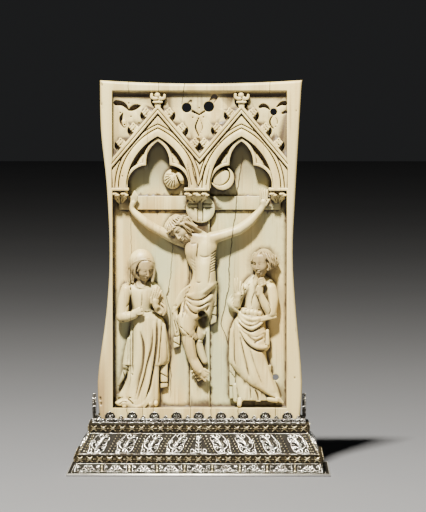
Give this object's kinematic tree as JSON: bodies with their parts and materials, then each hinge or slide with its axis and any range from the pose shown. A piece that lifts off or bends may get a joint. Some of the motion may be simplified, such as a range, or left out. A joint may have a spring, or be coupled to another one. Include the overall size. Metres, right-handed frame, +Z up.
{
  "type": "devotional plaque",
  "caption": "Carved ivory leaf with a crucifixion scene under gabled arches, upright in a stepped silver filigree plinth.",
  "frame": {"origin": "centre of the plinth's footprint, on its underside", "axes": "+Z up, +X to the right of someone facing the relief, -Y the way the relief faces"},
  "size_m": [0.1316, 0.058, 0.1961],
  "materials": {
    "ivory": "polished old ivory, cream with brown in the hollows",
    "silver": "tarnished silver filigree, bright on its high parts",
    "gilt_silver": "worn gilding on silver"
  },
  "bodies": {
    "root": {"ivory_plaque": "ivory", "base_plate": "silver", "lower_filigree_band": "silver", "lower_star_band": "gilt_silver", "sloping_filigree_panels": "silver", "upper_star_band": "gilt_silver", "crested_gallery": "silver"}
  },
  "joints": []
}
